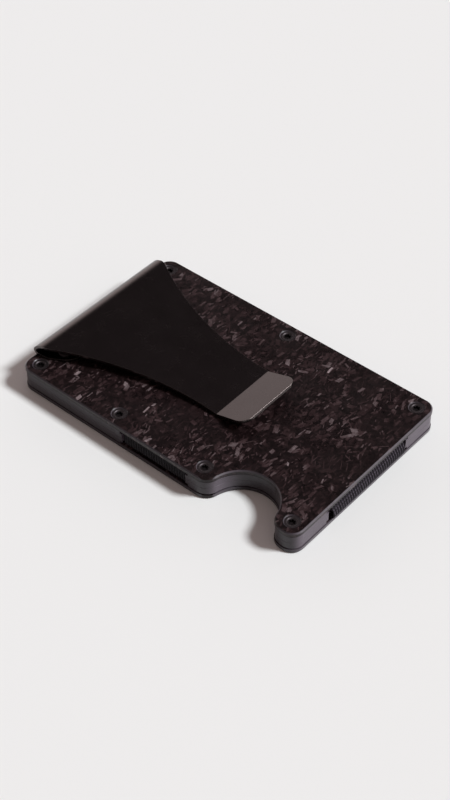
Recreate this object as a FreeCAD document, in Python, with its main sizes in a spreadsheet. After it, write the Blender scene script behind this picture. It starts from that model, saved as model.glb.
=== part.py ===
import FreeCAD, Part
import math
import os
import Sketcher

# A slim card holder with a spring money clip, in millimetres.
# X runs along the long side, from the clip's fold (-X) to the end with the thumb notch (+X).
# Y runs from the notched long side (-Y) to the open card side (+Y). Z points up, to the clip side.
# The origin is under the middle of the holder, on the surface that it lies on.
# Two halves, each a cover screwed to a metal half frame, are held together by elastic.

SIZES = [
    # alias, millimetres or degrees, what it is
    ("length", 85.6, "covers, along X"),
    ("width", 54.0, "covers, along Y"),
    ("cover_thickness", 1.1, "composite cover"),
    ("frame_thickness", 2.2, "one metal half frame"),
    ("corner_radius", 3.2, "covers' corners seen from above"),
    ("overhang", 0.15, "covers stand out past the frames"),
    ("rim_chamfer", 0.3, "outer rim of each cover"),
    ("groove_chamfer", 0.3, "frame edge under the cover, which leaves a fine groove"),
    ("seam_chamfer", 0.05, "frame edge where the two halves meet"),
    ("notch_radius", 8.8, "thumb notch"),
    ("notch_x", 26.5, "thumb notch centre, along X"),
    ("notch_inset", 1.2, "thumb notch centre from the front side"),
    ("notch_blend", 3.8, "rounding where the notch meets the front side"),
    ("screw_inset_x", 3.6, "corner screws from the ends"),
    ("screw_inset_y", 3.6, "cover screws from the long sides"),
    ("screw_front_x", -13.0, "front screw left of the elastic slot"),
    ("screw_notch_x", 13.7, "front screw beside the notch"),
    ("screw_back_x", 0.1, "back screw"),
    ("hole_diameter", 2.06, "holes for the screws"),
    ("sink_diameter", 4.2, "countersink at the cover's face"),
    ("tapped_depth", 2.0, "blind holes in the frames"),
    ("head_diameter", 3.6, "countersunk head"),
    ("dish_diameter", 2.6, "shallow dish round the socket"),
    ("dish_depth", 0.18, "shallow dish round the socket"),
    ("head_recess", 0.2, "head below the cover's face"),
    ("shank_diameter", 2.0, "cover screw"),
    ("screw_length", 2.9, "cover screw, end to end"),
    ("socket_core", 0.62, "six-lobe socket, inner radius"),
    ("socket_lobe", 0.26, "six-lobe socket, radius of a lobe"),
    ("socket_depth", 0.78, "six-lobe socket"),
    ("band_thickness", 0.74, "elastic"),
    ("band_gap", 0.08, "elastic from frame and cover"),
    ("band_corner", 0.7, "elastic's outer corners"),
    ("channel_depth", 0.9, "elastic's channel in the frame, under the cover"),
    ("channel_side", 0.7, "channel wider than the slot, each side"),
    ("end_band_width", 27.0, "elastic round both ends"),
    ("end_band_y", 0.0, "middle of the end elastic"),
    ("end_band_recess", 0.3, "end elastic behind the covers' ends"),
    ("end_slot_side", 1.1, "end slot wider than its elastic, each side"),
    ("front_band_width", 19.2, "elastic at the front side"),
    ("front_band_x", 0.75, "middle of the front elastic"),
    ("front_band_recess", 0.85, "front elastic behind the covers' front"),
    ("front_band_reach", 8.2, "front elastic's flaps, from the covers' front"),
    ("front_slot_side", 0.35, "front slot wider than its elastic, each side"),
    ("clip_sheet", 0.7, "spring steel of the clip"),
    ("fold_radius", 1.9, "rolled fold, outer radius"),
    ("fold_in", 0.1, "fold inside the cover's end"),
    ("fold_split", 5.5, "degrees between the leg's roll and the blade's"),
    ("blade_drop", 3.6, "degrees that the blade falls towards its tip"),
    ("bend_x", 5.2, "bend between the blade and the lip"),
    ("bend_radius", 0.5, "inside that bend"),
    ("lip_rise", 17.5, "degrees that the lip rises"),
    ("lip_end_x", 14.1, "lip's end"),
    ("lip_half_width", 9.8, "half of the lip's width at its end"),
    ("lip_corner", 3.0, "lip's corners"),
    ("fold_half_width", 21.5, "half of the clip's width at the fold"),
    ("shoulder_radius", 4.0, "rounding between the fold and the waist"),
    ("waist_radius", 82.0, "long hollow flank of the blade"),
    ("waist_x", 3.5, "narrowest place of the blade"),
    ("waist_half_width", 9.5, "half of the blade's width there"),
    ("leg_end_x", -33.0, "end of the clip's fixed leg"),
    ("leg_corner", 3.0, "leg's corners"),
    ("clip_screw_x", -37.0, "screws that hold the leg, along X"),
    ("clip_screw_y", 17.0, "screws that hold the leg, from the middle"),
    ("clip_head_diameter", 3.4, "low head"),
    ("clip_head_height", 0.55, "low head"),
    ("clip_screw_length", 3.1, "under the head"),
]

# heights of the layers above the surface that the holder lies on
SEAM = "(@cover_thickness + @frame_thickness)"
FRAME_TOP = "(@cover_thickness + 2 * @frame_thickness)"
COVER_TOP = "(2 * @cover_thickness + 2 * @frame_thickness)"

# where the seven cover screws are, seen from above
SCREW_PLACES = [
    ("-@length / 2 + @screw_inset_x", "-@width / 2 + @screw_inset_y"),
    ("@screw_front_x", "-@width / 2 + @screw_inset_y"),
    ("@screw_notch_x", "-@width / 2 + @screw_inset_y"),
    ("@length / 2 - @screw_inset_x", "-@width / 2 + @screw_inset_y"),
    ("-@length / 2 + @screw_inset_x", "@width / 2 - @screw_inset_y"),
    ("@screw_back_x", "@width / 2 - @screw_inset_y"),
    ("@length / 2 - @screw_inset_x", "@width / 2 - @screw_inset_y"),
]
CLIP_SCREW_PLACES = [("@clip_screw_x", "-@clip_screw_y"), ("@clip_screw_x", "@clip_screw_y")]

SIZE = {alias: value for alias, value, note in SIZES}
START, END, CENTRE = 1, 2, 3
HORIZON = -1
NEAR = 1e-4

doc = FreeCAD.newDocument("card_holder_with_clip")


def make_sheet():
    sheet = doc.addObject("Spreadsheet::Sheet", "Sizes")
    for row, (alias, value, note) in enumerate(SIZES, start=1):
        sheet.set("A%d" % row, alias)
        sheet.set("B%d" % row, str(value))
        sheet.set("C%d" % row, note)
        sheet.setAlias("B%d" % row, alias)
    doc.recompute()


def bind(thing, prop, expression):
    """Ties a property to the sheet. In an expression @name is the size of that name."""
    thing.setExpression(prop, expression.replace("@", "Sizes."))


# ---------------------------------------------------------------- sketches


def new_body(name):
    body = doc.addObject("PartDesign::Body", name)
    body.Label = name
    return body


def origin_plane(body, role):
    return next(f for f in body.Origin.OriginFeatures if f.Role == role)


def new_sketch(body, name, role="XY_Plane", offset=None):
    sketch = body.newObject("Sketcher::SketchObject", name)
    sketch.AttachmentSupport = [(origin_plane(body, role), "")]
    sketch.MapMode = "FlatFace"
    if offset:
        bind(sketch, "AttachmentOffset.Base.z", offset)
    return sketch


def hold(sketch, expression, *constraint):
    """Adds a dimension to a sketch and ties it to the sheet."""
    index = sketch.addConstraint(Sketcher.Constraint(*constraint))
    bind(sketch, "Constraints[%d]" % index, expression)


def locate(sketch, geometry, point, across, up):
    """Places a point of a sketch: across and up are expressions, or None to leave it free."""
    drawn = sketch.getPoint(geometry, point)
    if across:
        hold(sketch, across, "DistanceX", HORIZON, 1, geometry, point, drawn.x)
    if up:
        hold(sketch, up, "DistanceY", HORIZON, 1, geometry, point, drawn.y)


def join(sketch, *pairs):
    for first, first_point, second, second_point in pairs:
        sketch.addConstraint(
            Sketcher.Constraint("Coincident", first, first_point, second, second_point)
        )


def line(x0, y0, x1, y1):
    return Part.LineSegment(FreeCAD.Vector(x0, y0, 0), FreeCAD.Vector(x1, y1, 0))


def arc(x, y, radius, start, end):
    circle = Part.Circle(FreeCAD.Vector(x, y, 0), FreeCAD.Vector(0, 0, 1), radius)
    return Part.ArcOfCircle(circle, math.radians(start), math.radians(end))


def rectangle(sketch, left, right, low, high):
    """A rectangle whose four sides are at these expressions."""
    first = sketch.GeometryCount
    corners = [(0, 0), (1, 0), (1, 1), (0, 1)]
    for (x0, y0), (x1, y1) in zip(corners, corners[1:] + corners[:1]):
        sketch.addGeometry(line(x0, y0, x1, y1))
    for side in range(4):
        join(sketch, (first + side, END, first + (side + 1) % 4, START))
        kind = "Horizontal" if side % 2 == 0 else "Vertical"
        sketch.addConstraint(Sketcher.Constraint(kind, first + side))
    locate(sketch, first, START, left, low)
    locate(sketch, first + 2, START, right, high)


def circle(sketch, x, y, radius):
    centre = FreeCAD.Vector(1, 1, 0)
    geometry = sketch.addGeometry(Part.Circle(centre, FreeCAD.Vector(0, 0, 1), 1.0))
    locate(sketch, geometry, CENTRE, x, y)
    hold(sketch, radius, "Radius", geometry, 1.0)


# ---------------------------------------------------------------- features


def pad(body, sketch, length, both_ways=False):
    feature = body.newObject("PartDesign::Pad", sketch.Name + "_pad")
    feature.Profile = sketch
    feature.SideType = "Symmetric" if both_ways else "One side"
    bind(feature, "Length", length)
    doc.recompute()
    return feature


def pocket(body, sketch, depth=None):
    """Cuts downwards from the sketch: to a depth, or all the way through."""
    before = body.Shape.Volume
    feature = body.newObject("PartDesign::Pocket", sketch.Name + "_cut")
    feature.Profile = sketch
    feature.Type = "Length" if depth else "ThroughAll"
    if depth:
        bind(feature, "Length", depth)
    doc.recompute()
    if body.Shape.Volume > before - NEAR:
        raise RuntimeError("%s cuts nothing" % sketch.Name)
    return feature


def hole(body, sketch, depth=None, sink=None):
    doc.recompute()
    feature = body.newObject("PartDesign::Hole", sketch.Name + "_holes")
    feature.Profile = sketch
    feature.ThreadType = "None"
    bind(feature, "Diameter", "@hole_diameter")
    feature.DrillPoint = "Flat"
    feature.DepthType = "Dimension" if depth else "ThroughAll"
    if depth:
        bind(feature, "Depth", depth)
    if sink:
        feature.HoleCutType = "Countersink"
        feature.HoleCutCustomValues = True
        feature.HoleCutCountersinkAngle = 90
        bind(feature, "HoleCutDiameter", sink)
    doc.recompute()
    return feature


def edges_where(shape, wanted):
    names = []
    for index, edge in enumerate(shape.Edges, start=1):
        if wanted(edge):
            names.append("Edge%d" % index)
    return names


def round_edges(body, name, wanted, radius):
    base = body.Tip
    feature = body.newObject("PartDesign::Fillet", name)
    feature.Base = (base, edges_where(base.Shape, wanted))
    bind(feature, "Radius", radius)
    doc.recompute()


def bevel_edges(body, name, wanted, size):
    base = body.Tip
    feature = body.newObject("PartDesign::Chamfer", name)
    feature.Base = (base, edges_where(base.Shape, wanted))
    bind(feature, "Size", size)
    doc.recompute()


def is_upright(edge):
    box = edge.BoundBox
    return box.XLength < NEAR and box.YLength < NEAR


def runs_along_y(edge):
    box = edge.BoundBox
    return box.XLength < NEAR and box.ZLength < NEAR


def lies_at(height):
    """Tells whether an edge lies wholly at a height."""
    return lambda edge: (
        abs(edge.BoundBox.ZMin - height) < NEAR and abs(edge.BoundBox.ZMax - height) < NEAR
    )


# ---------------------------------------------------------------- covers and frames


def make_plate(body, thickness, inset):
    """The holder's outline with its thumb notch. inset is how far it stays inside the covers'."""
    outline = new_sketch(body, body.Name + "_outline")
    rectangle(
        outline,
        "-@length / 2 + " + inset,
        "@length / 2 - " + inset,
        "-@width / 2 + " + inset,
        "@width / 2 - " + inset,
    )
    pad(body, outline, thickness)
    notch = new_sketch(body, body.Name + "_notch", offset=thickness)
    circle(notch, "@notch_x", "-@width / 2 + @notch_inset", "@notch_radius + " + inset)
    pocket(body, notch)

    box = body.Shape.BoundBox

    def is_corner(edge):
        return is_upright(edge) and abs(abs(edge.Vertexes[0].X) - box.XMax) < NEAR

    def is_notch_side(edge):
        at_front = abs(edge.Vertexes[0].Y - box.YMin) < NEAR
        return is_upright(edge) and at_front and abs(edge.Vertexes[0].X) < box.XMax - 5

    round_edges(body, body.Name + "_corners", is_corner, "@corner_radius - " + inset)
    round_edges(body, body.Name + "_blends", is_notch_side, "@notch_blend - " + inset)


def screw_sketch(body, name, places, offset):
    sketch = new_sketch(body, name, offset=offset)
    for x, y in places:
        circle(sketch, x, y, "@hole_diameter / 2")
    return sketch


def make_cover_blank():
    """A cover, face up, with its underside at height 0."""
    body = new_body("cover_blank")
    make_plate(body, "@cover_thickness", "0")
    bevel_edges(body, "cover_rim", lies_at(SIZE["cover_thickness"]), "@rim_chamfer")
    places = screw_sketch(body, "cover_screw_places", SCREW_PLACES, "@cover_thickness")
    hole(body, places, sink="@sink_diameter")
    return body


def make_frame_blank():
    """A half frame with its seam face at height 0 and its cover face on top."""
    body = new_body("frame_blank")
    top = SIZE["frame_thickness"]
    make_plate(body, "@frame_thickness", "@overhang")
    bevel_edges(body, "frame_groove_edge", lies_at(top), "@groove_chamfer")
    bevel_edges(body, "frame_seam_edge", lies_at(0), "@seam_chamfer")
    cut_end_slots(body)
    cut_front_slot(body)
    places = screw_sketch(body, "frame_screw_places", SCREW_PLACES, "@frame_thickness")
    hole(body, places, depth="@tapped_depth")
    return body


def cut_end_slots(body):
    """The channel for the end elastic, and the slots where it goes round the two ends."""
    half = "(@end_band_width / 2 + @end_slot_side)"
    channel = new_sketch(body, "end_channel", offset="@frame_thickness")
    rectangle(
        channel,
        "-@length / 2 - 1",
        "@length / 2 + 1",
        "@end_band_y - @channel_side - " + half,
        "@end_band_y + @channel_side + " + half,
    )
    pocket(body, channel, "@channel_depth")
    floor = "(@length / 2 - @end_band_recess - @band_thickness - @band_gap)"
    low = "@end_band_y - " + half
    high = "@end_band_y + " + half
    slots = new_sketch(body, "end_slots", offset="@frame_thickness")
    rectangle(slots, floor, "@length / 2 + 1", low, high)
    rectangle(slots, "-@length / 2 - 1", "-" + floor, low, high)
    pocket(body, slots)


def cut_front_slot(body):
    """The recess and the slot for the front elastic."""
    half = "(@front_band_width / 2 + @front_slot_side)"
    outside = "-@width / 2 - 1"
    channel = new_sketch(body, "front_channel", offset="@frame_thickness")
    rectangle(
        channel,
        "@front_band_x - @channel_side - " + half,
        "@front_band_x + @channel_side + " + half,
        outside,
        "-@width / 2 + @front_band_reach + 0.3",
    )
    pocket(body, channel, "@channel_depth")
    slot = new_sketch(body, "front_slot", offset="@frame_thickness")
    rectangle(
        slot,
        "@front_band_x - " + half,
        "@front_band_x + " + half,
        outside,
        "-@width / 2 + @front_band_recess + @band_thickness + @band_gap",
    )
    pocket(body, slot)


def drilled(name, blank, bottom, height):
    """A blank with the clip's screw holes cut through a range of heights."""
    holes = doc.addObject("Part::Compound", name + "_clip_holes")
    pins = []
    for number, (x, y) in enumerate(CLIP_SCREW_PLACES, start=1):
        pin = doc.addObject("Part::Cylinder", "%s_clip_hole_%d" % (name, number))
        bind(pin, "Radius", "@hole_diameter / 2")
        bind(pin, "Height", height)
        bind(pin, "Placement.Base.x", x)
        bind(pin, "Placement.Base.y", y)
        bind(pin, "Placement.Base.z", bottom)
        pins.append(pin)
    holes.Links = pins
    cut = doc.addObject("Part::Cut", name)
    cut.Label = name
    cut.Base = blank
    cut.Tool = holes
    doc.recompute()
    return cut


def mirrored(name, source):
    """The lower half's copy of an upper piece, mirrored at the seam."""
    copy = doc.addObject("Part::Mirroring", name)
    copy.Label = name
    copy.Source = source
    copy.Normal = FreeCAD.Vector(0, 0, 1)
    bind(copy, "Base.z", SEAM)
    doc.recompute()
    return copy


# ---------------------------------------------------------------- screws


def make_cover_screw():
    """A countersunk screw with a six-lobe socket. The top of its head is at height 0."""
    body = new_body("cover_screw")
    profile = new_sketch(body, "cover_screw_profile", role="XZ_Plane")
    head = SIZE["head_diameter"] / 2
    shank = SIZE["shank_diameter"] / 2
    length = SIZE["screw_length"]
    dish = SIZE["dish_diameter"] / 2
    depth = SIZE["dish_depth"]
    corners = [
        (0, -depth, "0", "-@dish_depth"),
        (dish - depth, -depth, "@dish_diameter / 2 - @dish_depth", "-@dish_depth"),
        (dish, 0, "@dish_diameter / 2", "0"),
        (head, 0, "@head_diameter / 2", "0"),
        (shank, shank - head, "@shank_diameter / 2", "(@shank_diameter - @head_diameter) / 2"),
        (shank, 0.2 - length, "@shank_diameter / 2", "0.2 - @screw_length"),
        (shank - 0.2, -length, "@shank_diameter / 2 - 0.2", "-@screw_length"),
        (0, -length, "0", "-@screw_length"),
    ]
    for here, there in zip(corners, corners[1:] + corners[:1]):
        profile.addGeometry(line(here[0], here[1], there[0], there[1]))
    for side, (x, y, across, up) in enumerate(corners):
        join(profile, (side, START, (side - 1) % len(corners), END))
        locate(profile, side, START, across, up)
    turned = body.newObject("PartDesign::Revolution", "cover_screw_turned")
    turned.Profile = profile
    turned.ReferenceAxis = (profile, ["V_Axis"])
    turned.Angle = 360
    doc.recompute()
    cut_socket(body, "cover", "0")
    return body


def make_clip_screw():
    """A low-headed screw with a six-lobe socket. The underside of its head is at height 0."""
    body = new_body("clip_screw")
    head = new_sketch(body, "clip_screw_head")
    circle(head, "0", "0", "@clip_head_diameter / 2")
    pad(body, head, "@clip_head_height")
    bevel_edges(body, "clip_head_edge", lies_at(SIZE["clip_head_height"]), "0.15")
    shank = new_sketch(body, "clip_screw_shank", offset="-@clip_screw_length")
    circle(shank, "0", "0", "@shank_diameter / 2")
    pad(body, shank, "@clip_screw_length")
    cut_socket(body, "clip", "@clip_head_height")
    return body


def cut_socket(body, name, top):
    """A six-lobe socket in a screw's head: a round core and six lobes on its edge."""
    core = new_sketch(body, name + "_socket_core", offset=top)
    circle(core, "0", "0", "@socket_core")
    pocket(body, core, "@socket_depth")
    lobe = new_sketch(body, name + "_socket_lobe", offset=top)
    circle(lobe, "@socket_core", "0", "@socket_lobe")
    cut = pocket(body, lobe, "@socket_depth")
    lobes = body.newObject("PartDesign::PolarPattern", name + "_socket_lobes")
    lobes.Originals = [cut]
    lobes.Axis = (core, ["N_Axis"])
    lobes.Angle = 360
    lobes.Occurrences = 6
    body.Tip = lobes
    doc.recompute()


def set_of_screws(name, screw, places, height):
    """One node with a screw of the same kind in each place."""
    links = []
    for number, (x, y) in enumerate(places, start=1):
        link = doc.addObject("App::Link", "%s_%d" % (name, number))
        link.LinkedObject = screw
        bind(link, "Placement.Base.x", x)
        bind(link, "Placement.Base.y", y)
        bind(link, "Placement.Base.z", height)
        links.append(link)
    group = doc.addObject("Part::Compound", name)
    group.Label = name
    group.Links = links
    doc.recompute()
    return group


# ---------------------------------------------------------------- elastic


def make_end_band():
    """The elastic loop round both ends, lying in the channels of the two frames."""
    body = new_body("end_band")
    x = "(@length / 2 - @end_band_recess)"
    low = "@cover_thickness + @band_gap"
    high = FRAME_TOP + " - @band_gap"
    outside = new_sketch(body, "end_band_outside", role="XZ_Plane", offset="-@end_band_y")
    rectangle(outside, "-" + x, x, low, high)
    pad(body, outside, "@end_band_width", both_ways=True)
    outer = [e.CenterOfMass for e in body.Shape.Edges if runs_along_y(e)]
    inside = new_sketch(
        body, "end_band_inside", role="XZ_Plane", offset="-@end_band_y - @end_band_width"
    )
    rectangle(
        inside,
        "-" + x + " + @band_thickness",
        x + " - @band_thickness",
        low + " + @band_thickness",
        high + " - @band_thickness",
    )
    cut = body.newObject("PartDesign::Pocket", "end_band_inside_cut")
    cut.Profile = inside
    cut.Type = "ThroughAll"
    cut.Reversed = True
    doc.recompute()

    def is_outer(edge):
        return runs_along_y(edge) and min(edge.CenterOfMass.distanceToPoint(p) for p in outer) < NEAR

    round_edges(body, "end_band_corners", is_outer, "@band_corner")
    return body


def make_front_band():
    """The elastic in the front slot: an upright web between two flaps under the covers."""
    body = new_body("front_band")
    web = "-@width / 2 + @front_band_recess"
    flap_end = "-@width / 2 + @front_band_reach"
    low = "@cover_thickness + @band_gap"
    high = FRAME_TOP + " - @band_gap"
    block = new_sketch(body, "front_band_block", role="YZ_Plane", offset="@front_band_x")
    rectangle(block, web, flap_end, low, high)
    pad(body, block, "@front_band_width", both_ways=True)
    hollow = new_sketch(
        body, "front_band_hollow", role="YZ_Plane", offset="@front_band_x + @front_band_width"
    )
    rectangle(
        hollow,
        web + " + @band_thickness",
        flap_end + " + 1",
        low + " + @band_thickness",
        high + " - @band_thickness",
    )
    pocket(body, hollow)
    front = body.Shape.BoundBox.YMin

    def is_outer(edge):
        box = edge.BoundBox
        along_x = box.YLength < NEAR and box.ZLength < NEAR
        return along_x and abs(box.YMin - front) < NEAR

    round_edges(body, "front_band_corners", is_outer, "@band_corner")
    return body


# ---------------------------------------------------------------- money clip

FOLD_X = "(-@length / 2 + @fold_in + @fold_radius)"
FOLD_Z = "(" + COVER_TOP + " + @fold_radius)"
FOLD_MIDDLE = (
    -SIZE["length"] / 2 + SIZE["fold_in"] + SIZE["fold_radius"],
    2 * SIZE["cover_thickness"] + 2 * SIZE["frame_thickness"] + SIZE["fold_radius"],
)


def fold_arcs(sketch, start, end):
    """The outer and the inner arc of the rolled fold, as geometry 0 and 1."""
    x, z = FOLD_MIDDLE
    outer = SIZE["fold_radius"]
    sketch.addGeometry(arc(x, z, outer, start, end))
    sketch.addGeometry(arc(x, z, outer - SIZE["clip_sheet"], start, end))
    join(sketch, (0, CENTRE, 1, CENTRE))
    locate(sketch, 0, CENTRE, FOLD_X, FOLD_Z)
    hold(sketch, "@fold_radius", "Radius", 0, outer)
    hold(sketch, "@fold_radius - @clip_sheet", "Radius", 1, outer - SIZE["clip_sheet"])


def make_blade_profile(body):
    """The blade seen from the front: half the roll, the long falling blade and the rising lip."""
    profile = new_sketch(body, "blade_profile", role="XZ_Plane")
    x, z = FOLD_MIDDLE
    outer = SIZE["fold_radius"]
    inner = outer - SIZE["clip_sheet"]
    bend, end = SIZE["bend_x"], SIZE["lip_end_x"]
    fold_arcs(profile, 90 - SIZE["blade_drop"], 180 - SIZE["fold_split"])
    profile.addGeometry(line(x, z + outer, bend, z - 0.8))
    profile.addGeometry(line(bend, z - 0.8, end, z + 2))
    profile.addGeometry(line(end, z + 2, end + 0.2, z + 1.3))
    profile.addGeometry(line(end + 0.2, z + 1.3, bend + 0.1, z - 1.5))
    profile.addGeometry(line(bend + 0.1, z - 1.5, x, z + inner))
    profile.addGeometry(line(x - inner, z, x - outer, z))
    top_blade, top_lip, lip_end, under_lip, under_blade, roll_end = range(2, 8)
    join(
        profile,
        (top_blade, END, top_lip, START),
        (top_lip, END, lip_end, START),
        (lip_end, END, under_lip, START),
        (under_lip, END, under_blade, START),
        (roll_end, START, 1, END),
        (roll_end, END, 0, END),
    )
    for constraint in (
        ("Tangent", 0, START, top_blade, START),
        ("Tangent", 1, START, under_blade, END),
        ("Parallel", top_blade, under_blade),
        ("Parallel", top_lip, under_lip),
        ("Perpendicular", top_lip, lip_end),
        ("PointOnObject", 0, CENTRE, roll_end),
    ):
        profile.addConstraint(Sketcher.Constraint(*constraint))
    drop, rise = math.radians(SIZE["blade_drop"]), math.radians(SIZE["lip_rise"])
    side = math.radians(180 - SIZE["fold_split"])
    hold(profile, "-@blade_drop * 1 deg", "Angle", top_blade, -drop)
    hold(profile, "@lip_rise * 1 deg", "Angle", top_lip, rise)
    hold(profile, "(180 - @fold_split) * 1 deg", "Angle", roll_end, side)
    hold(profile, "@clip_sheet", "Distance", under_lip, START, top_lip, SIZE["clip_sheet"])
    locate(profile, top_blade, END, "@bend_x", None)
    locate(profile, top_lip, END, "@lip_end_x", None)
    return profile


def make_leg_profile(body):
    """The fixed leg seen from the front: it lies on the cover and ends in the lower roll."""
    profile = new_sketch(body, "leg_profile", role="XZ_Plane")
    x, z = FOLD_MIDDLE
    outer = SIZE["fold_radius"]
    inner = outer - SIZE["clip_sheet"]
    end = SIZE["leg_end_x"]
    fold_arcs(profile, 180, 270)
    profile.addGeometry(line(x, z - outer, end, z - outer))
    profile.addGeometry(line(end, z - outer, end, z - inner))
    profile.addGeometry(line(end, z - inner, x, z - inner))
    profile.addGeometry(line(x - inner, z, x - outer, z))
    under, leg_end, top, roll_end = range(2, 6)
    join(
        profile,
        (under, END, leg_end, START),
        (leg_end, END, top, START),
        (roll_end, START, 1, START),
        (roll_end, END, 0, START),
    )
    for constraint in (
        ("Tangent", 0, END, under, START),
        ("Tangent", 1, END, top, END),
        ("Horizontal", under),
        ("Horizontal", top),
        ("Vertical", leg_end),
        ("Horizontal", roll_end),
        ("PointOnObject", 0, CENTRE, roll_end),
    ):
        profile.addConstraint(Sketcher.Constraint(*constraint))
    locate(profile, under, END, "@leg_end_x", None)
    return profile


def cut_flanks(body, name):
    """Trims both sides of the clip: wide at the fold, a hollow waist, and a slight flare."""
    sketch = new_sketch(body, name + "_flank", offset=COVER_TOP + " + 12")
    wide, waist = SIZE["fold_half_width"], SIZE["waist_half_width"]
    shoulder, hollow = SIZE["shoulder_radius"], SIZE["waist_radius"]
    far_left = -SIZE["length"] / 2 - 3
    far_right = SIZE["lip_end_x"] + 2
    rise = wide - shoulder - waist - hollow
    run = math.sqrt((shoulder + hollow) ** 2 - rise**2)
    turn = math.degrees(math.atan2(-rise, run))
    shoulder_x = SIZE["waist_x"] - run
    sketch.addGeometry(line(far_left, wide, shoulder_x, wide))
    sketch.addGeometry(arc(shoulder_x, wide - shoulder, shoulder, turn, 90))
    sketch.addGeometry(arc(SIZE["waist_x"], waist + hollow, hollow, 180 + turn, 270))
    sketch.addGeometry(line(SIZE["waist_x"], waist, far_right, SIZE["lip_half_width"]))
    sketch.addGeometry(line(far_right, SIZE["lip_half_width"], far_right, wide + 3))
    sketch.addGeometry(line(far_right, wide + 3, far_left, wide + 3))
    sketch.addGeometry(line(far_left, wide + 3, far_left, wide))
    join(
        sketch,
        (2, END, 3, START),
        (3, END, 4, START),
        (4, END, 5, START),
        (5, END, 6, START),
        (6, END, 0, START),
    )
    for constraint in (
        ("Tangent", 0, END, 1, END),
        ("Tangent", 1, START, 2, START),
        ("Horizontal", 0),
        ("Vertical", 4),
        ("Horizontal", 5),
        ("Vertical", 6),
    ):
        sketch.addConstraint(Sketcher.Constraint(*constraint))
    hold(sketch, "@shoulder_radius", "Radius", 1, shoulder)
    hold(sketch, "@waist_radius", "Radius", 2, hollow)
    locate(sketch, 0, START, "-@length / 2 - 3", "@fold_half_width")
    locate(sketch, 2, CENTRE, "@waist_x", None)
    locate(sketch, 2, END, "@waist_x", "@waist_half_width")
    locate(sketch, 3, END, "@lip_end_x + 2", "@lip_half_width")
    locate(sketch, 4, END, None, "@fold_half_width + 3")
    cut = pocket(body, sketch)
    other_side = body.newObject("PartDesign::Mirrored", name + "_other_flank")
    other_side.Originals = [cut]
    other_side.MirrorPlane = (origin_plane(body, "XZ_Plane"), [""])
    body.Tip = other_side
    doc.recompute()


def make_clip_blade():
    """The part of the clip that springs up when notes are pushed under it."""
    body = new_body("clip_blade")
    pad(body, make_blade_profile(body), "2 * @fold_half_width + 2", both_ways=True)
    bend = SIZE["bend_x"]

    def is_bend(edge):
        return runs_along_y(edge) and abs(edge.CenterOfMass.x - bend) < 0.5

    inside, outside = sorted(
        (e for e in body.Shape.Edges if is_bend(e)), key=lambda e: -e.CenterOfMass.z
    )
    high, low = inside.CenterOfMass.z, outside.CenterOfMass.z
    round_edges(
        body,
        "blade_bend_inside",
        lambda e: is_bend(e) and abs(e.CenterOfMass.z - high) < NEAR,
        "@bend_radius",
    )
    round_edges(
        body,
        "blade_bend_outside",
        lambda e: is_bend(e) and abs(e.CenterOfMass.z - low) < NEAR,
        "@bend_radius + @clip_sheet",
    )
    cut_flanks(body, "blade")
    end = body.Shape.BoundBox.XMax

    def is_lip_corner(edge):
        box = edge.BoundBox
        return box.YLength < 0.1 and box.XMax > end - 0.5 and 0.1 < box.ZLength < 1

    round_edges(body, "lip_corners", is_lip_corner, "@lip_corner")
    return body


def make_clip_leg():
    """The part of the clip that is screwed down on the upper cover."""
    body = new_body("clip_leg")
    pad(body, make_leg_profile(body), "2 * @fold_half_width + 2", both_ways=True)
    cut_flanks(body, "leg")
    end = SIZE["leg_end_x"]

    def is_leg_corner(edge):
        return is_upright(edge) and abs(edge.CenterOfMass.x - end) < NEAR

    round_edges(body, "leg_corners", is_leg_corner, "@leg_corner")
    top = COVER_TOP + " + @clip_sheet"
    places = new_sketch(body, "leg_screw_places", offset=top)
    for x, y in CLIP_SCREW_PLACES:
        circle(places, x, y, "@hole_diameter / 2")
    pocket(body, places, "@clip_sheet + 1")
    return body


# ---------------------------------------------------------------- the whole holder


def build():
    make_sheet()
    cover_blank = make_cover_blank()
    bind(cover_blank, "Placement.Base.z", FRAME_TOP)
    frame_blank = make_frame_blank()
    bind(frame_blank, "Placement.Base.z", SEAM)
    doc.recompute()
    cover_screws = set_of_screws(
        "upper_screws", make_cover_screw(), SCREW_PLACES, COVER_TOP + " - @head_recess"
    )
    return [
        drilled("upper_cover", cover_blank, SEAM, "4 * @frame_thickness"),
        mirrored("lower_cover", cover_blank),
        drilled("upper_frame", frame_blank, FRAME_TOP + " - @tapped_depth", "4 * @frame_thickness"),
        mirrored("lower_frame", frame_blank),
        cover_screws,
        mirrored("lower_screws", cover_screws),
        make_end_band(),
        make_front_band(),
        make_clip_leg(),
        make_clip_blade(),
        set_of_screws(
            "clip_screws", make_clip_screw(), CLIP_SCREW_PLACES, COVER_TOP + " + @clip_sheet"
        ),
    ]


def check(parts):
    doc.recompute()
    for thing in doc.Objects:
        if "Invalid" in thing.State or "Error" in thing.State:
            raise RuntimeError("%s is in state %s" % (thing.Name, thing.State))
    for part in parts:
        if part.Shape.isNull() or not part.Shape.isValid():
            raise RuntimeError("%s has no valid shape" % part.Label)


def export(parts):
    os.makedirs("parts", exist_ok=True)
    for part in parts:
        part.Shape.exportStep("parts/%s.step" % part.Label)
        box = part.Shape.BoundBox
        print(
            "%-13s solids %2d  volume %8.2f  x %7.2f..%6.2f  y %7.2f..%6.2f  z %5.2f..%5.2f"
            % (
                part.Label,
                len(part.Shape.Solids),
                part.Shape.Volume,
                box.XMin,
                box.XMax,
                box.YMin,
                box.YMax,
                box.ZMin,
                box.ZMax,
            )
        )


pieces = build()
check(pieces)
export(pieces)
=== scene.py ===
import math

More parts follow.
